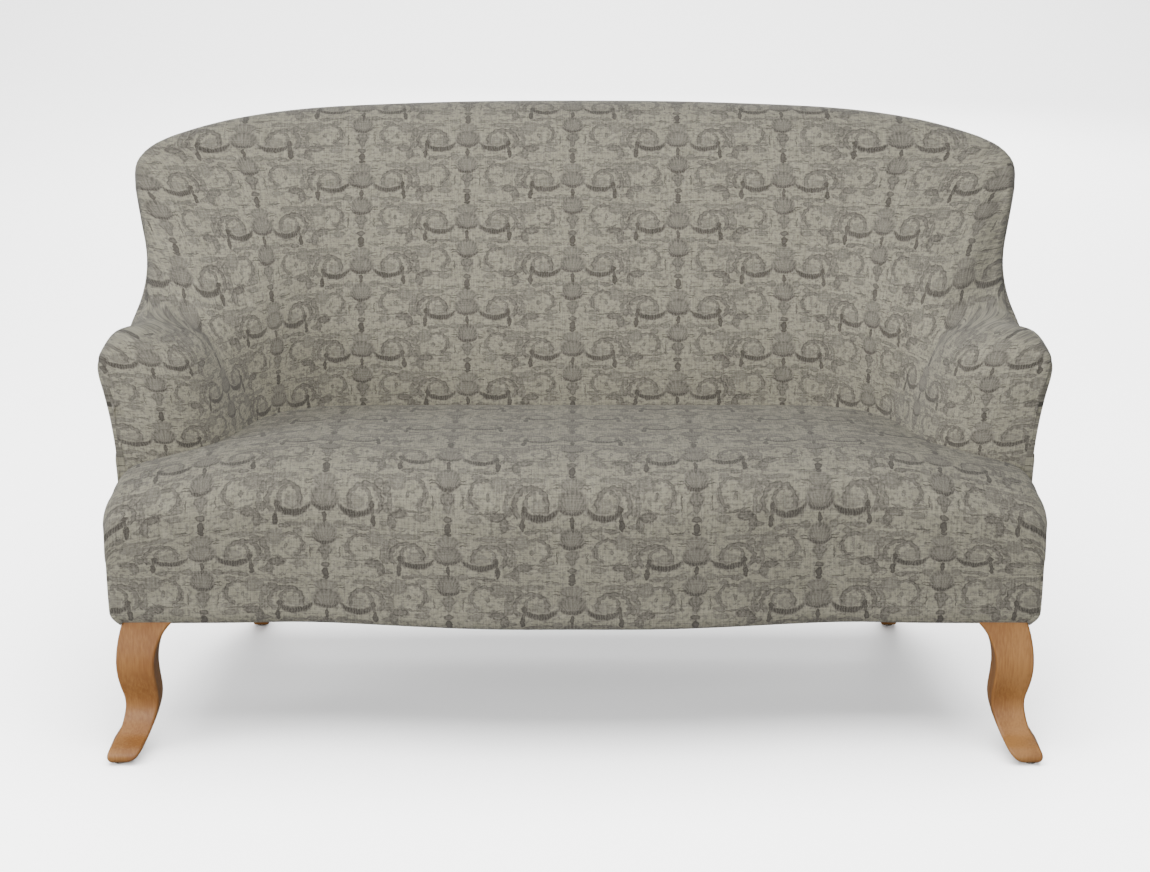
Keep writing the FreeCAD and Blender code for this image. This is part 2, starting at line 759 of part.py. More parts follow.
# Dowels across the joints of the seat rails
rail_middle = board_setback + rail_thickness / 2
front_joint = V(wall_shares[1][1] * half_width - rail_middle, block_front, 0)
side_joint = V(wall_shares[1][2] * half_width - rail_middle, side_rail_end, 0)
back_joint = V(rear_block_place, wall_shares[1][5] * half_depth - rail_middle, 0)
centre_joint = V(0, spring_front(0) + rail_thickness / 2, 0)
joints = [(front_joint, V(0, 1, 0)), (side_joint, V(0, 1, 0)), (back_joint, V(1, 0, 0))]
dowels = []
for share in (1 / 4, 3 / 4):
    z = frame_bottom + share * (rail_top - frame_bottom)
    for place, way in joints:
        start = place + V(0, 0, z) - way * dowel_length / 2
        one = Part.makeCylinder(dowel_diameter / 2, dowel_length, start, way)
        dowels += [one, mirrored(one)]
    z = frame_bottom + share * (centre_rail_top - frame_bottom)
    start = centre_joint + V(0, -dowel_length / 2, z)
    dowels.append(Part.makeCylinder(dowel_diameter / 2, dowel_length, start, V(0, 1, 0)))

# Black cloth tacked under the frame
dust_space = seat_form(-lining - dust_setback).common(wall(lining + dust_setback))
dust_cover = dust_space.common(layer(frame_bottom - dust_thickness - layer_gap, frame_bottom - layer_gap))
for x, y in ((front_leg_place, front_leg_depth), (rear_leg_place, rear_leg_depth)):
    half = leg_width * leg_hole_share
    dust_cover = dust_cover.cut(box(x - half, x + half, y - half, y + half, 0, far))
    dust_cover = dust_cover.cut(box(-x - half, -x + half, y - half, y + half, 0, far))
write("dust_cover", largest(dust_cover))

write("leg_glides", Part.makeCompound(glides))
write("leg_bolts", Part.makeCompound(bolts))
write("block_screws", Part.makeCompound(screws))
write("frame_dowels", Part.makeCompound(dowels))
write("front_leg_right", front_leg)
write("rear_leg_right", rear_leg)

# Holes for the fasteners, then the left side as the mirror image of the right
fasteners = {name: written[name] for name in ("leg_glides", "leg_bolts", "block_screws", "frame_dowels")}
drilled = ("front_rail", "back_rail", "centre_rail", "side_rail_right", "front_block_right",
           "rear_block_right", "front_leg_right", "rear_leg_right")
for name in drilled:
    for fastener in fasteners.values():
        written[name] = written[name].cut(fastener)
    written[name] = largest(written[name])
for name in list(written):
    if name.endswith("_right") and name.replace("_right", "_left") not in written:
        written[name.replace("_right", "_left")] = mirrored(written[name])

for name, shape in written.items():
    if not shape.isValid():
        print("not valid", name)
    shape.exportStep("parts/" + name + ".step")
    print(name, len(shape.Solids), round(shape.Volume / 1000))
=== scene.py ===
"""A small two-seat sofa in printed cloth, dressed over its frame.

Metres, in the frame's own axes: +X is right, +Y is back, +Z is up, and the floor is at zero.
"""

import bpy
import numpy as np
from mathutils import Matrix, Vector


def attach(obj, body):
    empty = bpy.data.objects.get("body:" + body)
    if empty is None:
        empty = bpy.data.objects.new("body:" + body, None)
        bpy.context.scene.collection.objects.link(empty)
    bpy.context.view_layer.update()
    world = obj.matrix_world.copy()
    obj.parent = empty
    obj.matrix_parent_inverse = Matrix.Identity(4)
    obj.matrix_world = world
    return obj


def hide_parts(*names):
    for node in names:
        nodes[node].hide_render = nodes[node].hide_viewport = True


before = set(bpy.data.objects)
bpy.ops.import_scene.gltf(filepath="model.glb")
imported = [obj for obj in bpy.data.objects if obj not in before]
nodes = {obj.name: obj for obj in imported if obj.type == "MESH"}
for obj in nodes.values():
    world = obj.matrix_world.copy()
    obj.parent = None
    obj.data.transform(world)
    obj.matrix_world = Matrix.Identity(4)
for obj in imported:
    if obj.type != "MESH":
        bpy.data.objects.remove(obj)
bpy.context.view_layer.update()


# The timber frame is sawn softwood and beech, dowelled and glued. It is hidden under the covers, and each
# board keeps its own shape. The finish is a plain sawn face with its grain along the board.
class Socket:
    """One output in a material. Arithmetic on it adds Math nodes, and other() adds any other node."""

    def __init__(self, tree, link):
        self.tree = tree
        self.link = link

    def other(self, kind, settings=None, inputs=None, output=0):
        """One more node: its settings, where a ramp's two end stops come first, and then its inputs."""
        node = self.tree.nodes.new(kind)
        for name, value in (settings or {}).items():
            if name == "stops":
                for index, (place, colour) in enumerate(value):
                    stops = node.color_ramp.elements
                    stop = stops[index] if index < 2 else stops.new(place)
                    stop.position = place
                    stop.color = (*colour, 1)
            else:
                setattr(node, name, value)
        for name, value in (inputs or {}).items():
            if isinstance(value, Socket):
                self.tree.links.new(value.link, node.inputs[name])
            else:
                node.inputs[name].default_value = value
        return Socket(self.tree, node.outputs[output])

    def maths(self, operation, *others):
        """A Math node with this output first."""
        return self.other("ShaderNodeMath", {"operation": operation}, dict(enumerate((self, *others))))

    def __add__(self, other):
        return self.maths("ADD", other)

    def __sub__(self, other):
        return self.maths("SUBTRACT", other)

    def __rsub__(self, other):
        return self.maths("MULTIPLY_ADD", -1.0, other)

    def __mul__(self, other):
        return self.maths("MULTIPLY", other)

    def __mod__(self, other):
        return self.maths("FLOORED_MODULO", other)

    def __abs__(self):
        return self.maths("ABSOLUTE")

    __radd__ = __add__
    __rmul__ = __mul__

    def rise(self, low, high):
        """0 at low and 1 at high, with a smooth step between. Low may be the larger of the two."""
        smooth = {"interpolation_type": "SMOOTHSTEP"}
        return self.other("ShaderNodeMapRange", smooth, {"Value": self, "From Min": low, "From Max": high})

    def between(self, first, second):
        """The colour between two, as this value goes from 0 to 1."""
        return self.other("ShaderNodeMix", {"data_type": "RGBA"}, {0: self, 6: first, 7: second}, output=2)

    def noise(self, scale, detail=2.0, roughness=0.5):
        """Smooth noise with this output as its place, about 0.5 on average."""
        inputs = {"Vector": self, "Scale": scale, "Detail": detail, "Roughness": roughness}
        return self.other("ShaderNodeTexNoise", None, inputs)

    def scaled(self, *shares):
        """This place, stretched by a share along each axis."""
        return self.other("ShaderNodeVectorMath", {"operation": "MULTIPLY"}, {0: self, 1: shares})


class Finish:
    """A material with one Principled shader: constants go on its sockets, and what varies is linked."""

    def __init__(self, name, roughness, **constants):
        self.material = bpy.data.materials.new(name)
        self.material.use_nodes = True
        self.tree = self.material.node_tree
        self.shader = self.tree.nodes["Principled BSDF"]
        self.shader.inputs["Roughness"].default_value = roughness
        for socket, value in constants.items():
            self.shader.inputs[socket.replace("_", " ")].default_value = value

    def place(self, output="Object"):
        """The place on the object, or on its UV map."""
        node = self.tree.nodes.new("ShaderNodeTexCoord")
        return Socket(self.tree, node.outputs[output])

    def link(self, socket, value):
        """Feed a socket of the shader with what varies over the surface."""
        self.tree.links.new(value.link, self.shader.inputs[socket])

    def bump(self, height, distance):
        """Small relief, distance metres deep where height goes from 0 to 1."""
        inputs = {"Height": height, "Distance": distance, "Strength": 1.0}
        self.link("Normal", height.other("ShaderNodeBump", None, inputs))

    def cover(self, *pieces):
        """Put this material alone on each piece."""
        for piece in pieces:
            piece.data.materials.clear()
            piece.data.materials.append(self.material)


def both(name):
    """The names of a left piece and its right twin."""
    return [name + "_left", name + "_right"]


def timber(name, light, dark, stretch, roughness=0.75):
    """Sawn timber: fine noise stretched along the grain, over broad bands of early and late wood."""
    finish = Finish(name, roughness)
    place = finish.place()
    bands = place.scaled(*stretch).noise(14.0, 2.0)
    fibre = place.scaled(*(share * 6 for share in stretch)).noise(60.0, 3.0)
    tone = (bands * 0.65 + fibre * 0.35).rise(0.32, 0.66)
    finish.link("Base Color", tone.between((*dark, 1), (*light, 1)))
    finish.bump(fibre, 0.0004)
    return finish


lengthwise_boards = ["front_rail", "back_rail", "crest_rail", "back_tack_rail"]
upright_boards = both("arm_facing") + both("arm_post") + both("wing_board")
upright_boards += ["back_support_left", "back_support_centre", "back_support_right"]
deep_boards = ["centre_rail"] + both("side_rail") + both("arm_rail") + both("arm_tack_rail")
blocks = both("front_block") + both("rear_block")
softwood = (0.60, 0.44, 0.27), (0.47, 0.32, 0.18)
block_wood = (0.50, 0.35, 0.20), (0.38, 0.25, 0.13)
dowel_wood = (0.64, 0.48, 0.31), (0.55, 0.40, 0.24)
timber("rail_timber", *softwood, (0.06, 1, 1)).cover(*[nodes[n] for n in lengthwise_boards])
timber("upright_timber", *softwood, (1, 1, 0.06)).cover(*[nodes[n] for n in upright_boards])
timber("deep_timber", *softwood, (1, 0.06, 1)).cover(*[nodes[n] for n in deep_boards])
timber("block_timber", *block_wood, (1, 0.08, 1)).cover(*[nodes[n] for n in blocks])
timber("dowel_timber", *dowel_wood, (0.3, 0.3, 1)).cover(nodes["frame_dowels"])


# The arm boards are hard brown fibreboard, stapled to the inside of each arm to carry the foam. One face
# is smooth and the other has a fine press pattern.
def fibreboard():
    """Pressed brown fibreboard: short fibres from two noises laid over each other."""
    finish = Finish("fibreboard", 0.6)
    place = finish.place()
    fibres = place.noise(220.0, 4.0) * 0.6 + place.noise(40.0) * 0.4
    tone = fibres.rise(0.35, 0.65)
    finish.link("Base Color", tone.between((0.15, 0.085, 0.045, 1), (0.27, 0.17, 0.095, 1)))
    finish.bump(fibres, 0.0002)
    return finish


fibreboard().cover(*[nodes[n] for n in both("arm_board")])


# The seat is sprung with eight bent steel wires held in folded clips, and two straight wires tie them.
# The wires are oil-blackened, the clips are zinc-plated, and the bolts and screws are plain steel.
def steel(name, dark, light, roughness):
    """Metal with a faint bloom: noise moves both its colour and how rough it is."""
    finish = Finish(name, roughness, Metallic=1.0)
    bloom = finish.place().noise(90.0, 3.0).rise(0.3, 0.7)
    finish.link("Base Color", bloom.between((*dark, 1), (*light, 1)))
    finish.link("Roughness", bloom * 0.2 + (roughness - 0.1))
    return finish


blackened = steel("spring_wire", (0.10, 0.10, 0.11), (0.22, 0.21, 0.21), 0.42)
zinc = steel("zinc_plate", (0.50, 0.50, 0.49), (0.66, 0.66, 0.65), 0.35)
plain = steel("plain_steel", (0.36, 0.35, 0.34), (0.52, 0.51, 0.50), 0.38)
blackened.cover(nodes["seat_springs"])
zinc.cover(nodes["spring_clips"], nodes["spring_tie_wires"])
plain.cover(nodes["leg_bolts"], nodes["block_screws"])


# The inside cover is one printed cloth over foam, pulled over the back, the wings and both arms down to
# the tuck behind the seat. It is sewn to the outside covers along the crest, the wings and the arms.
def curve_through(knots, values, at):
    """A natural cubic spline: its bends solve the usual three-term equations, then it is read off."""
    gaps = np.diff(knots)
    flat = values.reshape(len(knots), -1)
    slopes = np.diff(flat, axis=0) / gaps[:, None]
    matrix = np.eye(len(knots))
    pull = np.zeros_like(flat)
    inner = np.arange(1, len(knots) - 1)
    matrix[inner, inner - 1] = gaps[:-1]
    matrix[inner, inner] = 2 * (gaps[:-1] + gaps[1:])
    matrix[inner, inner + 1] = gaps[1:]
    pull[1:-1] = 6 * np.diff(slopes, axis=0)
    bends = np.linalg.solve(matrix, pull)
    span = np.clip(np.searchsorted(knots, at, side="right") - 1, 0, len(gaps) - 1)
    step = (at - knots[span])[:, None]
    gap = gaps[span][:, None]
    low, high = bends[span], bends[span + 1]
    run = slopes[span] - gap * (2 * low + high) / 6
    out = flat[span] + step * (run + step * (low / 2 + step * (high - low) / (6 * gap)))
    return out.reshape(len(at), *values.shape[1:])


def knots_of(points):
    """Mean distance from each row of points to the next, added up."""
    steps = np.linalg.norm(np.diff(points[..., :3], axis=0), axis=-1).mean(axis=1)
    return np.concatenate([[0], np.cumsum(steps)])


def skin(rows, spacing):
    """A smooth surface through rows of points: a cubic spline along each row, then across the rows."""
    rows = np.asarray(rows, dtype=float)
    along = knots_of(rows.swapaxes(0, 1))
    fine = np.linspace(0, along[-1], int(along[-1] / spacing) + 2)
    rows = curve_through(along, rows.swapaxes(0, 1), fine).swapaxes(0, 1)
    across = knots_of(rows)
    fine = np.linspace(0, across[-1], int(across[-1] / spacing) + 2)
    return curve_through(across, rows, fine)


mirror = np.array([-1.0, 1.0, 1.0])


def whole(right_rows):
    """Rows from the far left to the far right, from those of the right half that starts on the middle."""
    right_rows = np.asarray(right_rows, dtype=float)
    return np.concatenate([(right_rows * mirror)[:0:-1], right_rows])


def facing_out(grid):
    """The outward unit normal of each point of a grid, by the cross product of its two directions."""
    normal = np.cross(np.gradient(grid, axis=0), np.gradient(grid, axis=1))
    return normal / np.maximum(np.linalg.norm(normal, axis=-1, keepdims=True), 1e-9)


def hemmed(grid, side, depth=0.006, ease=0.0015, overlap=1.0):
    """Two more lines along one side of a grid, which turn the cloth in at a seam: over it, then down. A
    negative overlap draws the edge back and leaves a narrow groove at the seam."""
    line = {"first": grid[:, 0], "last": grid[:, -1]}[side]
    before = {"first": grid[:, 1], "last": grid[:, -2]}[side]
    normal = facing_out(grid)[:, {"first": 0, "last": -1}[side]]
    on = line - before
    on /= np.maximum(np.linalg.norm(on, axis=-1, keepdims=True), 1e-9)
    over = line + (on * overlap - normal) * ease
    down = over + on * ease * 0.3 * overlap - normal * depth
    if side == "first":
        return np.concatenate([down[:, None], over[:, None], grid], axis=1)
    return np.concatenate([grid, over[:, None], down[:, None]], axis=1)


def cloth_piece(name, grid, print_place, thickness=0.0025):
    """A mesh of four-sided faces over a grid, with a UV map that holds the place on the cloth's print."""
    across, along = grid.shape[:2]
    index = np.arange(across * along).reshape(across, along)
    corners = [index[:-1, :-1], index[1:, :-1], index[1:, 1:], index[:-1, 1:]]
    faces = np.stack(corners, axis=-1).reshape(-1, 4)
    mesh = bpy.data.meshes.new(name)
    mesh.from_pydata(grid.reshape(-1, 3).tolist(), [], faces.tolist())
    layer = mesh.uv_layers.new(name="print_place")
    layer.data.foreach_set("uv", print_place.reshape(-1, 2)[faces.ravel()].ravel())
    mesh.polygons.foreach_set("use_smooth", np.ones(len(faces), dtype=bool))
    piece = bpy.data.objects.new(name, mesh)
    bpy.context.scene.collection.objects.link(piece)
    wall = piece.modifiers.new("cloth", "SOLIDIFY")
    wall.thickness = thickness
    wall.offset = -1
    return piece


def settled(grid, most=0.004, reach=0.020, step=4, frames=20):
    """The grid after its cloth has settled over the filling: a cloth simulation of every fourth point,
    with its edges pinned and pressure behind it. Of each move, the part m straight out is kept as
    most tanh(m / reach), and none inward, where the filling holds the cloth. Splines spread it out again."""
    kept = [np.unique(np.linspace(0, count - 1, count // step).astype(int)) for count in grid.shape[:2]]
    coarse = grid[kept[0]][:, kept[1]]
    piece = cloth_piece("settling", coarse, coarse[..., :2])
    piece.modifiers.clear()
    edge = np.ones(coarse.shape[:2], dtype=bool)
    edge[1:-1, 1:-1] = False
    seam = piece.vertex_groups.new(name="seam")
    seam.add(np.flatnonzero(edge).tolist(), 1.0, "REPLACE")
    cloth = piece.modifiers.new("settling", "CLOTH")
    cloth.settings.vertex_group_mass = "seam"
    cloth.settings.use_pressure = True
    cloth.settings.uniform_pressure_force = 4.0
    cloth.settings.effector_weights.gravity = 0.0
    cloth.settings.quality = 6
    cloth.point_cache.frame_end = frames
    for moment in range(1, frames + 1):
        bpy.context.scene.frame_set(moment)
    shape = piece.evaluated_get(bpy.context.evaluated_depsgraph_get()).data
    places = np.empty(coarse.size, dtype=np.float32)
    shape.vertices.foreach_get("co", places)
    outward = facing_out(coarse)
    swell = np.maximum(((places.reshape(coarse.shape) - coarse) * outward).sum(axis=-1, keepdims=True), 0)
    move = outward * most * np.tanh(swell / reach)
    bpy.data.objects.remove(piece)
    bpy.context.scene.frame_set(1)
    rows = curve_through(kept[0].astype(float), move, np.arange(grid.shape[0], dtype=float))
    along = np.arange(grid.shape[1], dtype=float)
    return grid + curve_through(kept[1].astype(float), rows.swapaxes(0, 1), along).swapaxes(0, 1)


def level(x, *pairs):
    """One upright row of the back at x, from its places back and up."""
    return [(x, y, z) for y, z in pairs]


# rows up the cover from the middle round to the arm's front edge, each with nine places: tuck, lap and
# waist, back, shoulder and front of the crest, crest, its rear and the seam
inside_rows = [
    level(0.000, (0.124, 0.395), (0.117, 0.503), (0.128, 0.611), (0.161, 0.731), (0.209, 0.845),
          (0.249, 0.899), (0.306, 0.927), (0.352, 0.916), (0.3725, 0.895)),
    level(0.180, (0.123, 0.395), (0.116, 0.503), (0.127, 0.611), (0.160, 0.731), (0.208, 0.845),
          (0.248, 0.898), (0.304, 0.926), (0.349, 0.915), (0.3690, 0.894)),
    level(0.330, (0.121, 0.395), (0.114, 0.503), (0.124, 0.611), (0.156, 0.731), (0.205, 0.843),
          (0.244, 0.895), (0.298, 0.922), (0.342, 0.912), (0.3600, 0.892)),
    [(0.420, 0.105, 0.395), (0.424, 0.097, 0.503), (0.430, 0.100, 0.611),
     (0.440, 0.137, 0.728), (0.450, 0.194, 0.838), (0.453, 0.235, 0.888),
     (0.456, 0.286, 0.9165), (0.458, 0.328, 0.906), (0.460, 0.3480, 0.885)],
    [(0.468, 0.081, 0.395), (0.480, 0.066, 0.503), (0.494, 0.060, 0.611),
     (0.515, 0.103, 0.717), (0.540, 0.176, 0.823), (0.549, 0.216, 0.874),
     (0.556, 0.262, 0.9055), (0.561, 0.305, 0.897), (0.564, 0.3320, 0.876)],
    [(0.490, 0.064, 0.395), (0.510, 0.044, 0.503), (0.530, 0.036, 0.602),
     (0.562, 0.078, 0.697), (0.602, 0.150, 0.795), (0.618, 0.191, 0.850),
     (0.635, 0.230, 0.887), (0.646, 0.268, 0.884), (0.652, 0.2980, 0.863)],
    [(0.501, 0.052, 0.395), (0.524, 0.031, 0.500), (0.549, 0.022, 0.592),
     (0.590, 0.056, 0.675), (0.644, 0.118, 0.755), (0.675, 0.152, 0.807),
     (0.701, 0.181, 0.846), (0.715, 0.202, 0.8595), (0.7245, 0.2260, 0.8505)],
    [(0.508, 0.042, 0.395), (0.531, 0.021, 0.498), (0.558, 0.012, 0.586),
     (0.599, 0.042, 0.657), (0.650, 0.096, 0.724), (0.682, 0.132, 0.768),
     (0.710, 0.158, 0.802), (0.7245, 0.170, 0.819), (0.7325, 0.1880, 0.818)],
    [(0.512, 0.035, 0.395), (0.536, 0.012, 0.496), (0.563, 0.004, 0.580),
     (0.600, 0.030, 0.640), (0.645, 0.074, 0.690), (0.672, 0.101, 0.717),
     (0.694, 0.122, 0.735), (0.708, 0.134, 0.743), (0.7165, 0.1520, 0.745)],
    [(0.516, 0.027, 0.395), (0.539, 0.004, 0.494), (0.565, -0.002, 0.574),
     (0.599, 0.019, 0.622), (0.638, 0.051, 0.655), (0.662, 0.073, 0.671),
     (0.684, 0.093, 0.681), (0.698, 0.106, 0.688), (0.7065, 0.1230, 0.690)],
    [(0.520, 0.015, 0.395), (0.541, -0.007, 0.489), (0.566, -0.010, 0.566),
     (0.597, 0.004, 0.607), (0.633, 0.027, 0.632), (0.659, 0.044, 0.642),
     (0.682, 0.059, 0.648), (0.697, 0.070, 0.651), (0.7055, 0.0840, 0.650)],
    [(0.526, -0.006, 0.395), (0.545, -0.018, 0.482), (0.568, -0.020, 0.556),
     (0.595, -0.012, 0.597), (0.631, 0.000, 0.620), (0.660, 0.011, 0.631),
     (0.684, 0.021, 0.635), (0.698, 0.028, 0.634), (0.7065, 0.0380, 0.626)],
    [(0.534, -0.036, 0.395), (0.549, -0.038, 0.474), (0.567, -0.039, 0.546),
     (0.590, -0.036, 0.592), (0.624, -0.032, 0.616), (0.657, -0.029, 0.625),
     (0.688, -0.026, 0.627), (0.713, -0.023, 0.617), (0.7255, -0.0200, 0.598)],
    [(0.559, -0.095, 0.395), (0.567, -0.095, 0.468), (0.577, -0.095, 0.535),
     (0.592, -0.095, 0.583), (0.618, -0.094, 0.608), (0.656, -0.093, 0.624),
     (0.698, -0.092, 0.631), (0.730, -0.091, 0.621), (0.7430, -0.0900, 0.599)],
    [(0.596, -0.132, 0.395), (0.598, -0.132, 0.463), (0.601, -0.132, 0.525),
     (0.607, -0.132, 0.568), (0.625, -0.132, 0.595), (0.660, -0.132, 0.616),
     (0.701, -0.131, 0.625), (0.733, -0.132, 0.615), (0.7465, -0.1330, 0.597)],
    [(0.630, -0.149, 0.395), (0.630, -0.149, 0.457), (0.630, -0.149, 0.512),
     (0.633, -0.149, 0.550), (0.645, -0.149, 0.576), (0.671, -0.149, 0.602),
     (0.706, -0.149, 0.612), (0.734, -0.150, 0.605), (0.7460, -0.1510, 0.588)],
    [(0.657, -0.157, 0.395), (0.656, -0.157, 0.448), (0.656, -0.157, 0.493),
     (0.659, -0.157, 0.524), (0.667, -0.157, 0.548), (0.685, -0.157, 0.572),
     (0.709, -0.157, 0.584), (0.731, -0.158, 0.583), (0.7420, -0.1575, 0.572)],
    [(0.683, -0.159, 0.395), (0.682, -0.159, 0.437), (0.684, -0.159, 0.472),
     (0.688, -0.159, 0.500), (0.696, -0.159, 0.522), (0.706, -0.159, 0.542),
     (0.719, -0.159, 0.553), (0.728, -0.159, 0.556), (0.7357, -0.1590, 0.552)],
    [(0.703, -0.159, 0.395), (0.704, -0.159, 0.425), (0.706, -0.159, 0.450),
     (0.710, -0.159, 0.472), (0.715, -0.159, 0.492), (0.721, -0.159, 0.509),
     (0.726, -0.159, 0.521), (0.727, -0.159, 0.529), (0.7300, -0.1590, 0.532)],
    [(0.7140, -0.158, 0.395), (0.7157, -0.158, 0.413), (0.7173, -0.158, 0.430),
     (0.7188, -0.158, 0.446), (0.7205, -0.158, 0.461), (0.7218, -0.158, 0.476),
     (0.7230, -0.158, 0.489), (0.7240, -0.158, 0.501), (0.7250, -0.1580, 0.512)],
]
back_column = 0.1755


def print_on_back(x, y, z):
    """Columns stand upright to x = 0.36 and spread from there, more so forward and down the wings. Rows
    follow the height, and close up towards the crest."""
    beyond = np.maximum(x - 0.36, 0)
    above = z - 0.72
    columns = x / back_column + beyond * (0.89 - 0.18 * above - 15.3 * (np.minimum(y, 0.20) - 0.10))
    rows = 7.30 * z - 0.18 * y - 4.800 + 3.92 * np.maximum(above, 0) ** 2
    rows += 50 * np.maximum(y - 0.235, 0) ** 2
    return columns, rows


def print_on_arm(x, y, z):
    """Columns and rows by even steps along each axis, as the cloth is drawn forward round the arm."""
    columns = 1.233 + 5.02 * x - 5.09 * y - 0.535 * z
    rows = 8.075 * z - 0.80 * x - 0.28 * y - 4.655
    return columns, rows


def blended(share, first, second):
    """Both coordinates of a print, between two layouts."""
    return np.stack([a * (1 - share) + b * share for a, b in zip(first, second)], axis=-1)


def carried_over(grid, rows, per_metre=7.5):
    """The print's rows, with those behind the crest carried on by length from its highest point."""
    steps = np.linalg.norm(np.diff(grid, axis=1), axis=-1)
    length = np.pad(np.cumsum(steps, axis=1), ((0, 0), (1, 0)))
    highest = grid[..., 2].argmax(axis=1)[:, None]
    behind = length - np.take_along_axis(length, highest, axis=1)
    carried = np.take_along_axis(rows, highest, axis=1) + per_metre * behind
    return np.where(behind > 0, carried, rows)


inside_grid = settled(skin(whole(inside_rows), spacing=0.0065))
arm_edge = inside_grid[-1]
top_edge = inside_grid[len(inside_grid) // 2 :, -1][::-1]
inside_grid = hemmed(inside_grid, "last", overlap=-0.6)
right_place = np.abs(inside_grid[..., 0]), inside_grid[..., 1], inside_grid[..., 2]
# the print turns from the back's layout to the arm's over 0.14 m forward of y = 0.10, by a smooth step
towards_arm = np.clip((0.10 - inside_grid[..., 1]) / 0.14, 0, 1)
towards_arm = towards_arm**2 * (3 - 2 * towards_arm)
back_columns, back_rows = print_on_back(*right_place)
back_layout = back_columns, carried_over(inside_grid, back_rows)
inside_print = blended(towards_arm, back_layout, print_on_arm(*right_place))
inside_print[..., 0] *= np.sign(inside_grid[..., 0])
inside_cover = cloth_piece("inside_cover_cloth", inside_grid, inside_print)
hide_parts("inside_cover", "back_foam", "arm_foam_left", "arm_foam_right",
            "back_hessian", "back_webbing")
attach(inside_cover, "root")


# The cloth of all the covers is cream linen with a traditional print in grey: urns, shells and cones in
# columns, each half a repeat lower than the last, and swags, tassels and leaf scrolls between them. Places
# are in column widths from a point on a column's middle line: across, and down.
print_height = 0.845
print_top = -0.342
ramp_reach = 1.5
thread_shadow = (0.210, 0.198, 0.146)
thread_light = (0.322, 0.304, 0.228)
# middle across and down, half width, half height and how dark: the firm ones, then the leafy ones
firm_ovals = [
    (0.000, 0.395, 0.036, 0.022, 0.70), (0.000, 0.465, 0.026, 0.044, 1.00),
    (0.000, -0.012, 0.017, 0.040, 1.00), (0.000, 0.035, 0.012, 0.030, 0.80),
    (0.000, -0.352, 0.030, 0.034, 1.00), (0.385, -0.105, 0.022, 0.024, 1.00),
    (0.392, -0.050, 0.012, 0.075, 0.90), (0.400, 0.008, 0.020, 0.044, 1.00),
    (0.121, 0.285, 0.006, 0.050, 0.75), (0.165, 0.497, 0.060, 0.005, 0.80),
    (0.125, 0.135, 0.030, 0.004, 0.95), (0.122, 0.158, 0.034, 0.004, 0.90),
    (0.118, -0.262, 0.032, 0.004, 0.85), (0.124, -0.238, 0.030, 0.004, 0.80),
    (0.235, 0.555, 0.040, 0.004, 0.70),
]
leafy_ovals = [
    (0.405, 0.151, 0.070, 0.056, 0.44), (0.322, 0.237, 0.016, 0.024, 0.62),
    (0.395, 0.372, 0.070, 0.034, 0.70), (0.452, 0.430, 0.034, 0.056, 0.60),
    (0.215, 0.392, 0.060, 0.028, 0.50), (0.120, 0.040, 0.045, 0.030, 0.50),
    (0.250, -0.120, 0.080, 0.045, 0.34), (0.250, 0.045, 0.100, 0.014, 0.60),
    (0.225, 0.100, 0.040, 0.026, 0.55), (0.500, -0.220, 0.030, 0.050, 0.60),
    (0.500, 0.2025, 0.030, 0.050, 0.60), (0.500, 0.020, 0.050, 0.020, 0.55),
    (0.500, 0.4425, 0.050, 0.020, 0.55), (0.500, -0.090, 0.026, 0.034, 0.65),
    (0.500, 0.3325, 0.026, 0.034, 0.65), (0.500, 0.115, 0.070, 0.012, 0.55),
    (0.500, -0.3075, 0.070, 0.012, 0.55), (0.180, 0.235, 0.024, 0.050, 0.50),
    (0.470, 0.300, 0.022, 0.070, 0.55), (0.330, -0.300, 0.110, 0.024, 0.50),
    (0.440, -0.255, 0.040, 0.030, 0.60), (0.190, 0.330, 0.050, 0.020, 0.50),
    (0.330, 0.060, 0.050, 0.020, 0.60),
]
# the same five, and how many flutes fan out over it
fluted_ovals = [
    (0.000, 0.118, 0.092, 0.090, 0.60, 24), (0.000, -0.150, 0.110, 0.080, 0.60, 22),
    (0.000, -0.262, 0.094, 0.052, 0.50, 18), (0.000, 0.262, 0.058, 0.046, 0.66, 12),
    (0.000, 0.305, 0.032, 0.052, 0.66, 8),
]
# middle across and down, radius across and down, its direction, half its angle, half width, how dark
scrolls = [
    (0.332, -0.130, 0.132, 0.112, -80, 128, 0.20, 0.95),
    (0.290, 0.222, 0.106, 0.098, -150, 105, 0.18, 0.95),
    (0.395, 0.430, 0.084, 0.072, -55, 85, 0.20, 1.00), (0.260, 0.300, 0.150, 0.050, 70, 50, 0.18, 0.95),
    (0.000, -0.315, 0.150, 0.036, -90, 75, 0.25, 0.70), (0.290, -0.150, 0.085, 0.066, -20, 70, 0.24, 0.85),
    (0.405, 0.151, 0.074, 0.058, -20, 120, 0.18, 0.62), (0.385, 0.470, 0.055, 0.040, 60, 100, 0.26, 0.85),
]
# the outer oval, the oval that is cut from it, and how dark
crescents = [
    ((0.258, -0.115, 0.148, 0.100), (0.258, -0.150, 0.152, 0.084), 1.00),
    ((0.000, 0.125, 0.106, 0.090), (0.000, 0.100, 0.112, 0.084), 1.00),
    ((0.000, -0.144, 0.118, 0.086), (0.000, -0.172, 0.126, 0.084), 0.95),
]


def within(place, across, down, half_width, half_height, blur=0.22):
    """The place from an oval's middle in its half sizes, its length, and 1 inside the oval, 0 outside."""
    sizes = (1 / half_width, 1 / half_height, 0)
    middle = (-across / half_width, -down / half_height, 0)
    settings = {"operation": "MULTIPLY_ADD"}
    inner = place.other("ShaderNodeVectorMath", settings, {0: place, 1: sizes, 2: middle})
    length = inner.other("ShaderNodeVectorMath", {"operation": "LENGTH"}, {0: inner}, output=1)
    return inner, length, length.rise(1 + blur, 1 - blur)


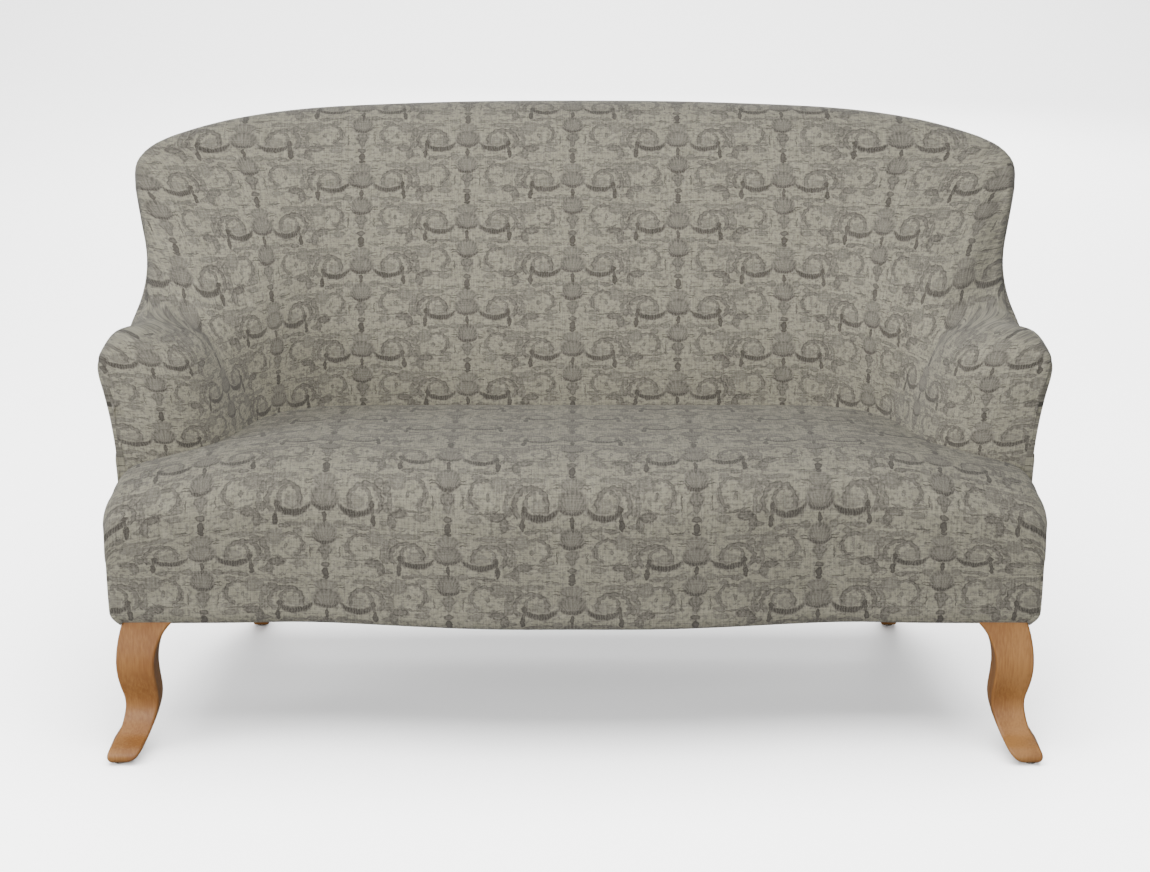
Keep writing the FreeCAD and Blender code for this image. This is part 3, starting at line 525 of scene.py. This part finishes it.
def shaded_oval(place, across, down, half_width, half_height, dark):
    """An oval with a pale middle and a darker rim."""
    length = within(place, across, down, half_width, half_height)[1]
    stops = [(0.0, 0.72), (1.2, 0.0), (0.55, 0.75), (0.88, 1.25)]
    stops = [(out / ramp_reach, (min(value * dark, 1),) * 3) for out, value in stops]
    return length.other("ShaderNodeValToRGB", {"stops": stops}, {0: length * (1 / ramp_reach)})


def fluted_oval(place, across, down, half_width, half_height, dark, flutes):
    """A shaded oval with lines that fan out: the cosine of the angle about a point 1.7 half heights down."""
    inner = within(place, across, down, half_width, half_height)[0]
    parts = inner.other("ShaderNodeSeparateXYZ", None, {0: inner})
    below = inner.other("ShaderNodeSeparateXYZ", None, {0: inner}, output=1)
    lines = (parts.maths("ARCTAN2", 1.7 - below) * (2.0 * flutes)).maths("COSINE")
    return shaded_oval(place, across, down, half_width, half_height, dark) * (lines * 0.24 + 0.84)


def scroll(place, across, down, radius_across, radius_down, points, half_angle, half_width, dark):
    """Part of an oval stroke with leafy edges, pale inside and dark along its outer line. Its radius and
    tone follow the sine of 13 times the angle, and it fades out beyond half its own angle."""
    inner, length, _ = within(place, across, down, radius_across, radius_down)
    turn = np.radians(points)
    parts = inner.other("ShaderNodeSeparateXYZ", None, {0: inner})
    angle = inner.other("ShaderNodeSeparateXYZ", None, {0: inner}, output=1).maths("ARCTAN2", parts)
    leaf = (angle * 13.0).maths("SINE")
    stops = [(0.0, 0.0), (1 + half_width, 0.0), (1 - half_width, 0.0), (1 - 0.6 * half_width, 0.75),
             (1 + 0.1 * half_width, 0.50), (1 + 0.6 * half_width, 1.0)]
    stops = [(out / ramp_reach, (value * dark,) * 3) for out, value in stops]
    edge = (length + leaf * 0.035) * (1 / ramp_reach)
    stroke = length.other("ShaderNodeValToRGB", {"stops": stops}, {0: edge})
    dot = {"operation": "DOT_PRODUCT"}
    towards = (np.cos(turn), np.sin(turn), 0.0)
    facing = inner.other("ShaderNodeVectorMath", dot, {0: inner, 1: towards}, output=1)
    limit = np.cos(np.radians(half_angle))
    return stroke * facing.rise(limit - 0.12, limit + 0.12) * (leaf * 0.12 + 0.88)


def darkest(shapes):
    """The most ink of several shapes at each place."""
    ink = shapes[0]
    for shape in shapes[1:]:
        ink = ink.maths("MAXIMUM", shape)
    return ink


def printed_ink(place, cloth):
    """How much ink the print lays, from 0 to 1. place is where it is drawn, with one across to a column
    and one up to a repeat, and cloth is the same place without the wobble of its lines, for its finest
    marks."""
    parts = place.other("ShaderNodeSeparateXYZ", None, {0: place})
    up = parts.other("ShaderNodeSeparateXYZ", None, {0: place}, output=1)
    column = (parts + 0.5).maths("FLOOR")
    lowered = up + (column % 2.0) * 0.5
    down = ((-print_top / print_height - lowered) % 1.0) * print_height + print_top
    here = down.other("ShaderNodeCombineXYZ", None, {0: abs(parts - column), 1: down})
    firm = [shaded_oval(here, *oval) for oval in firm_ovals]
    fringe = (parts * 290.0).maths("COSINE") * 0.20 + 0.84
    for outer, inner, dark in crescents:
        firm.append((within(here, *outer, 0.10)[2] - within(here, *inner, 0.10)[2]) * fringe * dark)
    leafy = [shaded_oval(here, *oval) for oval in leafy_ovals]
    curled = [scroll(here, *values) for values in scrolls]
    leaves = cloth.noise(46.0, 3.0, 0.6).rise(0.38, 0.57) * 0.60 + 0.40
    fluted = [fluted_oval(here, *values) for values in fluted_ovals]
    etched = cloth.noise(62.0, 3.0, 0.65).rise(0.34, 0.60) * 0.36 + 0.64
    soft = [darkest(leafy) * leaves, darkest(curled) * (leaves * 0.5 + 0.5), darkest(fluted) * etched]
    return darkest([*soft, darkest(firm) * (etched * 0.5 + 0.5)])


def printed_linen():
    """The print, engraved and worn, over a ground whose slubbed threads show both ways. Ink is the drawn
    shapes, cut by fine engraving, or the small leaves between them, whichever is darker, times how well
    it took. The ground's colour is multiplied by the ink's."""
    finish = Finish("printed_linen", 0.92, Sheen_Weight=0.10, Sheen_Roughness=0.6)
    place = finish.place("UV")
    shaky = {"Vector": place, "Scale": 24.0, "Detail": 3.0}
    wobble = place.other("ShaderNodeTexNoise", None, shaky, output=1)
    shift = {"operation": "MULTIPLY_ADD"}
    drawn = place.other("ShaderNodeVectorMath", shift, {0: wobble, 1: (0.045, 0.045, 0), 2: place})
    ink = printed_ink(drawn, place)
    small_leaves = place.noise(26.0, 4.0, 0.7).rise(0.46, 0.66) * 0.48
    taken = place.noise(4.0, 2.0).rise(0.2, 0.7) * 0.25 + 0.80
    ink = darkest([ink, small_leaves]) * taken
    warp = place.scaled(90, 5, 1).noise(1.0, 2.0)
    weft = place.scaled(5, 90, 1).noise(1.0, 2.0)
    threads = (warp + weft).rise(0.70, 1.30)
    ground = threads.between((*thread_shadow, 1), (*thread_light, 1))
    stops = [(0.0, (1.0, 1.0, 1.0)), (1.0, (0.165, 0.155, 0.16)),
             (0.30, (0.63, 0.62, 0.675)), (0.62, (0.38, 0.365, 0.40))]
    dye = ink.other("ShaderNodeValToRGB", {"stops": stops}, {0: ink})
    multiplied = {"data_type": "RGBA", "blend_type": "MULTIPLY"}
    colour = dye.other("ShaderNodeMix", multiplied, {0: 1.0, 6: ground, 7: dye}, output=2)
    finish.link("Base Color", colour)
    finish.bump(threads, 0.0005)
    return finish


linen = printed_linen()
linen.cover(inside_cover)


# The seat cover is the same cloth over thick foam on springs. It runs from the tuck over the top and down
# the bowed front border, and its ears in front of the arms are sewn to the outside covers.
def seat_row(x, front, top, nose, back):
    """One row of the seat: from under the front rail up the bowed border, round the roll and back to the
    tuck. The rows draw together behind the arms, where the cloth is tucked down inside them, and at the
    ears' lower corner. The ears stand a little wider than the border."""
    roll = front + 0.074
    corner = 0.6 * max(x - 0.690, 0)
    ear = 0.24 * max(x - 0.690, 0)
    return [
        (x - corner, front + 0.020, 0.2130), (x - 0.8 * corner, front + 0.008, 0.2135),
        (x - 0.35 * corner, front + 0.001, 0.222), (x, front, 0.250), (x, front, 0.300),
        (x + 0.8 * ear, front, nose - 0.035), (x + ear, front + 0.004, nose + 0.1 * (top - nose)),
        (x + 1.4 * ear, front + 0.017, top - 0.034), (x + 1.2 * ear, roll - 0.034, top - 0.018),
        (x + 0.4 * ear, roll, top - 0.007), (x, (roll - 0.150) / 2, top),
        (0.985 * x, -0.150, top - 0.001), (0.93 * x, -0.070, back + 0.70 * (top - back)),
        (0.90 * x, 0.020, back + 0.35 * (top - back)), (0.87 * x, 0.100, back),
        (0.85 * x, 0.165, back - 0.012),
    ]


seat_rows = [
    seat_row(0.000, -0.3500, 0.4650, 0.400, 0.446),
    seat_row(0.110, -0.3498, 0.4650, 0.400, 0.446),
    seat_row(0.200, -0.3425, 0.4650, 0.400, 0.446),
    seat_row(0.290, -0.3300, 0.4650, 0.400, 0.446),
    seat_row(0.370, -0.3185, 0.4650, 0.400, 0.446),
    seat_row(0.440, -0.3145, 0.4640, 0.400, 0.446),
    seat_row(0.520, -0.3190, 0.4580, 0.398, 0.445),
    seat_row(0.590, -0.3205, 0.4470, 0.392, 0.440),
    seat_row(0.645, -0.3212, 0.4380, 0.386, 0.432),
    seat_row(0.685, -0.3215, 0.4290, 0.378, 0.420),
    seat_row(0.706, -0.3213, 0.4200, 0.369, 0.407),
    seat_row(0.7150, -0.3200, 0.4085, 0.357, 0.394),
]
seat_column = 0.189


def length_along(line):
    """How far along a line each of its points lies, from 0 at the first."""
    return np.concatenate([[0], np.cumsum(np.linalg.norm(np.diff(line, axis=0), axis=-1))])


seat_grid = skin(whole(seat_rows), spacing=0.006)
seat_run = length_along(seat_grid[len(seat_grid) // 2])
# length up the middle row to each half repeat of the print, which is drawn out over the roll
half_repeats = np.array([-0.0435, 0.0345, 0.1125, 0.1907, 0.2948, 0.3828, 0.4674, 0.5454, 0.6291, 0.7100])
seat_up = curve_through(half_repeats, np.arange(-3, 7)[:, None] / 2, seat_run)[:, 0]
seat_print = np.stack([seat_grid[..., 0] / seat_column, seat_up[None, :] + 0 * seat_grid[..., 0]], axis=-1)


def turned_ends(grid, print_place):
    """The grid with both end rows turned in at the seams, and its print carried on."""
    swapped = hemmed(hemmed(grid.swapaxes(0, 1)[:, ::-1], "first"), "last").swapaxes(0, 1)[::-1]
    return swapped, np.pad(print_place, ((2, 2), (0, 0), (0, 0)), "edge")


seat_edge = seat_grid[-1]
seat_grid, seat_print = turned_ends(settled(seat_grid), seat_print)
seat_cover = cloth_piece("seat_cover_cloth", seat_grid, seat_print)
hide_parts("seat_cover", "seat_foam", "seat_wadding", "front_border_felt", "seat_hessian")
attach(seat_cover, "root")
linen.cover(seat_cover)


# The outside covers are single layers of the cloth, pulled tight over the boards: one across the back,
# and one on each side from the rear corner to the front of the seat. Their lower edges are tacked under
# the rails.
outside_heights = np.array([0.2125, 0.222, 0.240, 0.300, 0.396, 0.495, 0.560, 0.590, 0.697, 0.836, 0.930])
# side in front, wing and its place, rear corner and its place, and the middle of the back, at each height
outside_plan = np.array([
    [0.7010, 0.6565, 0.160, 0.536, 0.284, 0.294], [0.7120, 0.6625, 0.163, 0.540, 0.288, 0.298],
    [0.7180, 0.6660, 0.165, 0.541, 0.290, 0.300], [0.7195, 0.6680, 0.165, 0.542, 0.294, 0.305],
    [0.7210, 0.6730, 0.165, 0.545, 0.300, 0.314], [0.7310, 0.6850, 0.160, 0.556, 0.306, 0.323],
    [0.7448, 0.6960, 0.153, 0.566, 0.311, 0.330], [0.7525, 0.7000, 0.149, 0.570, 0.313, 0.333],
    [0.7550, 0.7100, 0.130, 0.590, 0.318, 0.350], [0.7630, 0.7380, 0.186, 0.612, 0.330, 0.3725],
    [0.7630, 0.7380, 0.190, 0.614, 0.331, 0.3725],
])
seat_end = -0.3725
arm_end = -0.158
corner_bow = 0.026
cover_bottom = 0.2125
wall_end = 3.9999


def outside(way, height):
    """The outer wall. way goes from 0 to 1 along the seat's side, to 2 at the wing, to 3 round the corner
    with a bow of 4 f (1 - f), and to 4 at the middle of the back, on a shallow parabola."""
    sizes = curve_through(outside_heights, outside_plan, height.ravel()).reshape(*height.shape, 6)
    side, wing_x, wing_y, corner_x, corner_y, back_y = np.moveaxis(sizes, -1, 0)
    part = np.clip(way, 0, wall_end) % 1
    stretches = [way < 1, way < 2, way < 3]
    bow = 4 * part * (1 - part) * corner_bow * np.sqrt(0.5)
    x = np.select(stretches, [side, side + (wing_x - side) * part,
                              wing_x + (corner_x - wing_x) * part + bow],
                  corner_x * (1 - part))
    y = np.select(stretches, [seat_end + (arm_end - seat_end) * part, arm_end + (wing_y - arm_end) * part,
                              wing_y + (corner_y - wing_y) * part + bow],
                  back_y - (back_y - corner_y) * (1 - part) ** 2)
    return np.stack([x, y, height], axis=-1)


panel_rows = 90
run_steps = 8
seam_gap = 0.001
edge_roll = 0.006
turned_in = 0.006


def outside_panel(seam, bottom_first, bottom_last):
    """A panel of the outer wall under a seam: its places along the wall, and its grid. Its lines spread
    along the bottom edge and run up to the seam, by steps that close up as 1 - (1 - f)^1.6. At a distance
    d below it the cloth goes exp(-(d / roll)^2) of the way over to its own edge, and the last two points
    turn it in."""
    tries = np.linspace(0, wall_end, 4000)
    walls = np.stack([outside(tries, np.full_like(tries, height)) for height in seam[:, 2]])
    top = tries[np.argmin(np.linalg.norm(walls - seam[:, None], axis=-1), axis=1)]
    top = np.maximum.accumulate(top)
    share = np.linspace(0, 1, len(seam))
    lean = top - (top[0] + (top[-1] - top[0]) * share)
    low = bottom_first + (bottom_last - bottom_first) * share + 0.5 * lean
    up = 1 - (1 - np.linspace(0, 1, panel_rows)[None, :]) ** 1.6
    way = low[:, None] + (top - low)[:, None] * up
    grid = outside(way, cover_bottom + (seam[:, 2:] - cover_bottom) * up)
    wall_step = outside(top + 0.01, seam[:, 2]) - outside(top - 0.01, seam[:, 2])
    outward = np.stack([wall_step[:, 1], -wall_step[:, 0], 0 * top], axis=-1)
    outward /= np.linalg.norm(outward, axis=-1, keepdims=True)
    run = grid[:, -1] - grid[:, -1 - run_steps]
    run /= np.linalg.norm(run, axis=-1, keepdims=True)
    edge = seam - seam_gap * run
    distance = np.linalg.norm(grid - grid[:, -1:], axis=-1, keepdims=True)
    grid += (edge - grid[:, -1])[:, None] * np.exp(-((distance / edge_roll) ** 2))
    over = edge - turned_in / 2 * outward - seam_gap * run
    down = edge - turned_in * outward - turned_in * run
    grid = np.concatenate([grid, over[:, None], down[:, None]], axis=1)
    return np.pad(way, ((0, 0), (0, 2)), "edge"), grid


def even(points, spacing=0.0065):
    """The same line with its points at even steps."""
    length = length_along(points)
    fine = np.linspace(0, length[-1], int(length[-1] / spacing) + 2)
    return np.stack([np.interp(fine, length, axis) for axis in points.T], axis=-1)


rear_seam = 0.560
border_foot = 0.235
ear_top = 0.402
border = seat_edge[(seat_edge[:, 1] < arm_end - 0.006) & (seat_edge[:, 2] > border_foot)]
above_seat = arm_edge[arm_edge[:, 2] > ear_top]
side_seam = even(np.concatenate([border, above_seat, top_edge[top_edge[:, 0] > rear_seam]]))
back_seam = even(top_edge[top_edge[:, 0] <= rear_seam + 0.006])
outside_column = 0.185
outside_repeat = 0.157
first_row = 0.36
plan_height = 0.4
plan_way = np.linspace(0, wall_end, 400)
plan_length = length_along(outside(plan_way, np.full_like(plan_way, plan_height)))


def outside_print(way, grid):
    """Columns by length along the wall's plan from the middle of the back, and rows by height."""
    columns = (plan_length[-1] - np.interp(way, plan_way, plan_length)) / outside_column
    rows = (grid[..., 2] - first_row) / outside_repeat
    return np.stack([columns, rows], axis=-1)


front_edge_way = 0.245
rear_seam_way = 2.874
side_way, side_grid = outside_panel(side_seam, front_edge_way, rear_seam_way)
side_grid, side_print = turned_ends(side_grid, outside_print(side_way, side_grid))
right_side = cloth_piece("outside_arm_cloth_right", side_grid, side_print)
left_side = cloth_piece("outside_arm_cloth_left", side_grid[::-1] * mirror, side_print[::-1])
back_way, back_half = outside_panel(back_seam, rear_seam_way, wall_end)
back_print = outside_print(back_way, back_half)
back_grid = np.concatenate([back_half, (back_half * mirror)[-2::-1]])
back_print = np.concatenate([back_print, (back_print * np.array([-1.0, 1.0]))[-2::-1]])
outside_back = cloth_piece("outside_back_cloth", *turned_ends(back_grid, back_print))
for piece, node, size, area in (
    (right_side, "outside_arm_cover_right", (0.78, 0.68), 0.33),
    (left_side, "outside_arm_cover_left", (0.78, 0.68), 0.33),
    (outside_back, "outside_back_cover", (1.18, 0.70), None),
):
    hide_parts(node)
    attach(piece, "root")
    linen.cover(piece)


# The dust cover is thin black cloth, tacked all round under the seat rails with its edges folded in. It
# sags a little between them.
dust_width = 1.412
border_line = np.array([row[3] for row in seat_rows])


def dust_grid(spacing=0.012, inset=0.007, sag=0.003, height=0.2145):
    """A level sheet: across by equal steps, and back from the bowed front to the wall. It sags by a
    parabola each way, 16 f (1 - f) (1/4 - g^2), where g is the share of its width from the middle."""
    across = np.linspace(-dust_width / 2, dust_width / 2, int(dust_width / spacing))
    front_line = border_line[np.argsort(border_line[:, 0])]
    wall_line = outside(plan_way, np.full_like(plan_way, cover_bottom))
    wall_line = wall_line[np.argsort(wall_line[:, 0])]
    front = np.interp(np.abs(across), front_line[:, 0], front_line[:, 1]) + inset
    back = np.interp(np.abs(across), wall_line[:, 0], wall_line[:, 1]) - inset
    depth = np.linspace(0, 1, 54)[None, :]
    y = front[:, None] + (back - front)[:, None] * depth
    x = across[:, None] + 0 * y
    z = height - sag * 16 * depth * (1 - depth) * (0.25 - (across[:, None] / dust_width) ** 2) + 0 * y
    return np.stack([x, y, z], axis=-1)[:, ::-1]


dust = dust_grid()
dust_cloth = cloth_piece("dust_cloth", dust, dust[..., :2] * 10, 0.0006)
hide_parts("dust_cover")
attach(dust_cloth, "root")
dust_finish = Finish("black_dust_cloth", 0.95)
dust_weave = dust_finish.place().noise(900.0, 2.0)
dust_finish.link("Base Color", dust_weave.between((0.008, 0.008, 0.008, 1), (0.03, 0.03, 0.03, 1)))
dust_finish.cover(dust_cloth)


# The legs are honey-coloured oak under a satin varnish: two curved ones with turned-out toes in front,
# and two plain raked ones behind. Each stands on a nailed steel glide.
oak = timber("leg_oak", (0.42, 0.20, 0.06), (0.25, 0.10, 0.025), (1, 1, 0.07), 0.42)
oak.cover(*[nodes[n] for n in both("front_leg") + both("rear_leg")])
steel("glide_steel", (0.45, 0.44, 0.42), (0.60, 0.59, 0.57), 0.3).cover(nodes["leg_glides"])


# The room is a pale floor that curves up into a pale wall. Broad soft lamps stand in front, at one side,
# above and behind, and a small one over the seat. Three light the floor alone, and a low one the inside
# cover alone.
floor_half = 9.0
floor_end = 8.0
wall_height = 6.0
# its profile goes back by even steps until its end, and rises as a parabola over the last two fifths
curve_steps = np.linspace(0, 1, 60)[None, :]
floor_y = -floor_half + (floor_half + floor_end) * np.minimum(curve_steps * 1.4, 1)
floor_z = wall_height * np.maximum(curve_steps - 0.6, 0) ** 2 / 0.16
floor_x = np.linspace(-floor_half, floor_half, 20)[:, None]
floor_grid = np.stack([floor_x + 0 * curve_steps, floor_y + 0 * floor_x, floor_z + 0 * floor_x], axis=-1)
floor = cloth_piece("studio_floor", floor_grid, floor_grid[..., :2])
floor.modifiers.clear()
floor_finish = Finish("pale_floor", 0.9)
floor_tone = floor_finish.place().noise(0.6, 1.0).between((0.90, 0.90, 0.90, 1), (0.93, 0.93, 0.93, 1))
# the floor is pale to the camera alone, so that it throws little light up under the seat
seen = floor_tone.other("ShaderNodeLightPath")
floor_finish.link("Base Color", seen.between((0.06, 0.06, 0.06, 1), floor_tone))
floor_finish.cover(floor)

world = bpy.data.worlds.new("soft_room")
world.use_nodes = True
world.node_tree.nodes["Background"].inputs["Color"].default_value = (1, 1, 1, 1)
world.node_tree.nodes["Background"].inputs["Strength"].default_value = 0.56
bpy.context.scene.world = world


def lamp(name, size, power, place, aim):
    """A square soft lamp that faces a point."""
    light = bpy.data.lights.new(name, "AREA")
    light.shape = "SQUARE"
    light.size = size
    light.energy = power
    holder = bpy.data.objects.new(name, light)
    holder.location = place
    towards = np.array(aim) - np.array(place)
    holder.rotation_mode = "QUATERNION"
    holder.rotation_quaternion = Vector(towards).to_track_quat("-Z", "Y")
    bpy.context.scene.collection.objects.link(holder)
    return holder


lamp("front_lamp", 2.4, 119.0, (-0.8, -5.2, 2.2), (0, 0, 0.5))
lamp("side_lamp", 2.0, 130.0, (-4.6, -2.2, 2.0), (0, 0, 0.5))
lamp("top_lamp", 3.0, 50.0, (-0.4, -1.6, 4.2), (0, 0, 0.5))
lamp("rear_lamp", 2.5, 150.0, (0.6, 5.6, 2.0), (0, 0.4, 0.5))
lamp("fill_lamp", 1.2, 7.0, (0, -0.9, 1.9), (0, 0.1, 0.5))
low_fill = lamp("low_fill_lamp", 0.3, 3.6, (0, -1.15, 0.70), (0, 0.12, 0.50))
low_fill.visible_camera = False
inside_only = bpy.data.collections.new("lit_inside_cover")
inside_only.objects.link(inside_cover)
low_fill.light_linking.receiver_collection = inside_only
floor_only = bpy.data.collections.new("lit_floor")
floor_only.objects.link(floor)
for name, size, power, place, aim in (
    ("floor_lamp", 6.0, 1250.0, (0, -0.5, 4.5), (0, 0, 0)),
    ("far_floor_lamp", 6.0, 1260.0, (0, 7.0, 4.5), (0, 7.0, 0)),
    ("low_floor_lamp", 3.0, 350.0, (0, -4.5, 1.7), (0, 0, 0)),
):
    lamp(name, size, power, place, aim).light_linking.receiver_collection = floor_only

# the camera stands straight in front and looks 16 degrees down
camera_height = 1.615
camera_distance = 4.151
camera_pitch = 16.0
camera = bpy.data.objects.new("camera", bpy.data.cameras.new("camera"))
camera.data.lens = 82.6
camera.data.sensor_width = 36.0
camera.location = (0, -camera_distance, camera_height)
camera.rotation_euler = (np.radians(90 - camera_pitch), 0, 0)
bpy.context.scene.collection.objects.link(camera)
bpy.context.scene.camera = camera
